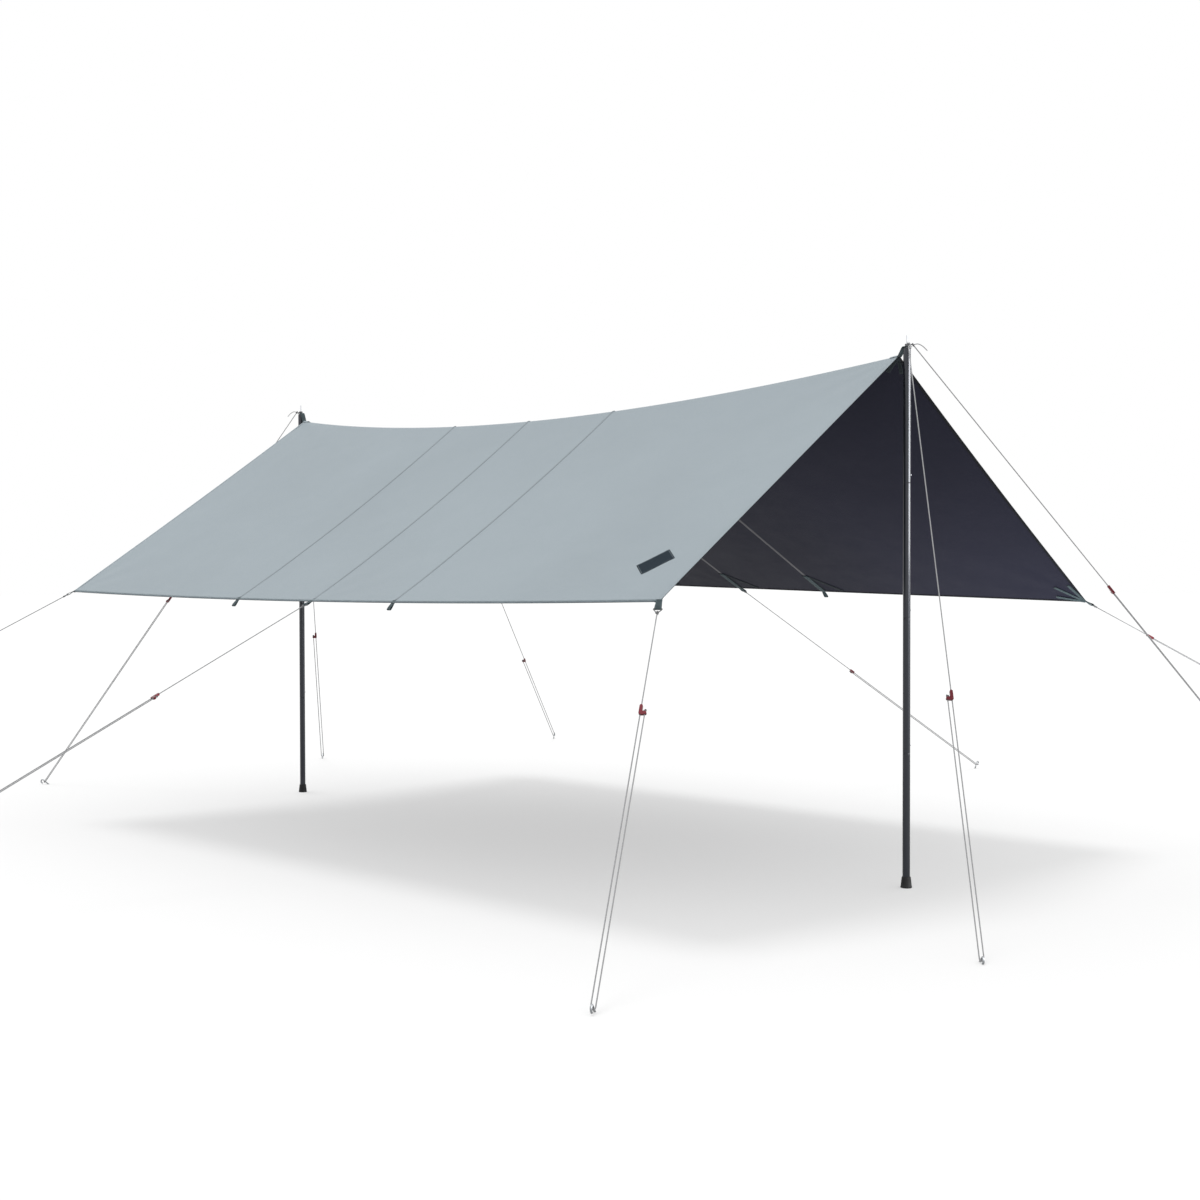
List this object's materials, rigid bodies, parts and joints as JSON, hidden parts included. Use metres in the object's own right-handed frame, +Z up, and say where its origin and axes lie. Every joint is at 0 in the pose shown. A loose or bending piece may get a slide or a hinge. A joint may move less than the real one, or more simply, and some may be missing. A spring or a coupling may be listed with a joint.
{
  "type": "tarp shelter",
  "caption": "Ridge-shaped tarp shelter: one coated cloth over two jointed poles, held out by guy lines with sliding tensioners and ground pegs.",
  "frame": {"origin": "on the ground, midway between the feet of the two poles", "axes": "+X along the ridge to the front pole, +Z up, -Y the left side"},
  "size_m": [6.382, 6.8755, 2.045],
  "materials": {
    "canopy_cloth": "coated plain-weave cloth, blue-grey outside and near-black underneath",
    "webbing": "woven webbing, dark slate",
    "pole_tube": "dark satin anodised tube",
    "rubber_foot": "matt moulded rubber",
    "tip_metal": "turned steel pin and cap",
    "button_metal": "stamped spring steel",
    "guy_line": "braided 4 mm cord, light grey",
    "tensioner": "red anodised",
    "peg_metal": "zinc-plated steel rod"
  },
  "bodies": {
    "shelter": {"canopy_cloth": "canopy_cloth", "ridge_tab_front": "webbing", "ridge_tab_rear": "webbing", "loop_front_left": "webbing", "guy_line_front_left": "guy_line", "peg_front_left": "peg_metal", "loop_rear_left": "webbing", "guy_line_rear_left": "guy_line", "peg_rear_left": "peg_metal", "loop_front_right": "webbing", "guy_line_front_right": "guy_line", "peg_front_right": "peg_metal", "loop_rear_right": "webbing", "guy_line_rear_right": "guy_line", "peg_rear_right": "peg_metal", "loop_side_left": "webbing", "guy_line_side_left": "guy_line", "peg_side_left": "peg_metal", "loop_side_right": "webbing", "guy_line_side_right": "guy_line", "peg_side_right": "peg_metal", "guy_line_front_pole_left": "guy_line", "peg_front_pole_left": "peg_metal", "guy_line_front_pole_right": "guy_line", "peg_front_pole_right": "peg_metal", "guy_line_rear_pole_left": "guy_line", "peg_rear_pole_left": "peg_metal", "guy_line_rear_pole_right": "guy_line", "peg_rear_pole_right": "peg_metal"},
    "front_pole": {"front_pole_foot": "rubber_foot", "front_pole_section_1": "pole_tube", "front_pole_section_2": "pole_tube", "front_pole_section_3": "pole_tube", "front_pole_section_4": "pole_tube", "front_pole_tip_pin": "tip_metal"},
    "front_pole_button_1_body": {"front_pole_button_1": "button_metal"},
    "front_pole_button_2_body": {"front_pole_button_2": "button_metal"},
    "front_pole_button_3_body": {"front_pole_button_3": "button_metal"},
    "rear_pole": {"rear_pole_foot": "rubber_foot", "rear_pole_section_1": "pole_tube", "rear_pole_section_2": "pole_tube", "rear_pole_section_3": "pole_tube", "rear_pole_section_4": "pole_tube", "rear_pole_tip_pin": "tip_metal"},
    "rear_pole_button_1_body": {"rear_pole_button_1": "button_metal"},
    "rear_pole_button_2_body": {"rear_pole_button_2": "button_metal"},
    "rear_pole_button_3_body": {"rear_pole_button_3": "button_metal"},
    "tensioner_front_left_body": {"tensioner_front_left": "tensioner"},
    "tensioner_rear_left_body": {"tensioner_rear_left": "tensioner"},
    "tensioner_front_right_body": {"tensioner_front_right": "tensioner"},
    "tensioner_rear_right_body": {"tensioner_rear_right": "tensioner"},
    "tensioner_side_left_body": {"tensioner_side_left": "tensioner"},
    "tensioner_side_right_body": {"tensioner_side_right": "tensioner"},
    "tensioner_front_pole_left_body": {"tensioner_front_pole_left": "tensioner"},
    "tensioner_front_pole_right_body": {"tensioner_front_pole_right": "tensioner"},
    "tensioner_rear_pole_left_body": {"tensioner_rear_pole_left": "tensioner"},
    "tensioner_rear_pole_right_body": {"tensioner_rear_pole_right": "tensioner"}
  },
  "joints": [
    {"name": "front_pole_lean", "type": "hinge", "parent": "shelter", "child": "front_pole", "pos_m": [1.935, 0, 2.0026], "axis": [0, 1, 0], "range_deg": [-10, 10]},
    {"name": "front_pole_button_1_press", "type": "slide", "parent": "front_pole", "child": "front_pole_button_1_body", "axis": [-0.7071, -0.7071, 0], "range_m": [0, 0.003], "stiffness_N_per_m": 1500},
    {"name": "front_pole_button_2_press", "type": "slide", "parent": "front_pole", "child": "front_pole_button_2_body", "axis": [-0.7071, -0.7071, 0], "range_m": [0, 0.003], "stiffness_N_per_m": 1500},
    {"name": "front_pole_button_3_press", "type": "slide", "parent": "front_pole", "child": "front_pole_button_3_body", "axis": [-0.7071, -0.7071, 0], "range_m": [0, 0.003], "stiffness_N_per_m": 1500},
    {"name": "rear_pole_lean", "type": "hinge", "parent": "shelter", "child": "rear_pole", "pos_m": [-1.935, 0, 2.0026], "axis": [0, 1, 0], "range_deg": [-10, 10]},
    {"name": "rear_pole_button_1_press", "type": "slide", "parent": "rear_pole", "child": "rear_pole_button_1_body", "axis": [-0.7071, -0.7071, 0], "range_m": [0, 0.003], "stiffness_N_per_m": 1500},
    {"name": "rear_pole_button_2_press", "type": "slide", "parent": "rear_pole", "child": "rear_pole_button_2_body", "axis": [-0.7071, -0.7071, 0], "range_m": [0, 0.003], "stiffness_N_per_m": 1500},
    {"name": "rear_pole_button_3_press", "type": "slide", "parent": "rear_pole", "child": "rear_pole_button_3_body", "axis": [-0.7071, -0.7071, 0], "range_m": [0, 0.003], "stiffness_N_per_m": 1500},
    {"name": "tensioner_front_left_slide", "type": "slide", "parent": "shelter", "child": "tensioner_front_left_body", "axis": [0.3448, -0.5531, -0.7584], "range_m": [-0.2, 0.3]},
    {"name": "tensioner_rear_left_slide", "type": "slide", "parent": "shelter", "child": "tensioner_rear_left_body", "axis": [-0.5225, -0.706, -0.4782], "range_m": [-0.2, 0.3]},
    {"name": "tensioner_front_right_slide", "type": "slide", "parent": "shelter", "child": "tensioner_front_right_body", "axis": [0.5268, 0.7117, -0.4647], "range_m": [-0.2, 0.3]},
    {"name": "tensioner_rear_right_slide", "type": "slide", "parent": "shelter", "child": "tensioner_rear_right_body", "axis": [-0.5121, 0.7024, -0.4943], "range_m": [-0.2, 0.3]},
    {"name": "tensioner_side_left_slide", "type": "slide", "parent": "shelter", "child": "tensioner_side_left_body", "axis": [-0.003, -0.8982, -0.4395], "range_m": [-0.2, 0.3]},
    {"name": "tensioner_side_right_slide", "type": "slide", "parent": "shelter", "child": "tensioner_side_right_body", "axis": [0.003, 0.894, -0.448], "range_m": [-0.2, 0.3]},
    {"name": "tensioner_front_pole_left_slide", "type": "slide", "parent": "shelter", "child": "tensioner_front_pole_left_body", "axis": [0.3734, -0.3563, -0.8565], "range_m": [-0.2, 0.3]},
    {"name": "tensioner_front_pole_right_slide", "type": "slide", "parent": "shelter", "child": "tensioner_front_pole_right_body", "axis": [0.4595, 0.4243, -0.7803], "range_m": [-0.2, 0.3]},
    {"name": "tensioner_rear_pole_left_slide", "type": "slide", "parent": "shelter", "child": "tensioner_rear_pole_left_body", "axis": [-0.5087, -0.3184, -0.7999], "range_m": [-0.2, 0.3]},
    {"name": "tensioner_rear_pole_right_slide", "type": "slide", "parent": "shelter", "child": "tensioner_rear_pole_right_body", "axis": [-0.4847, 0.3968, -0.7795], "range_m": [-0.2, 0.3]}
  ]
}
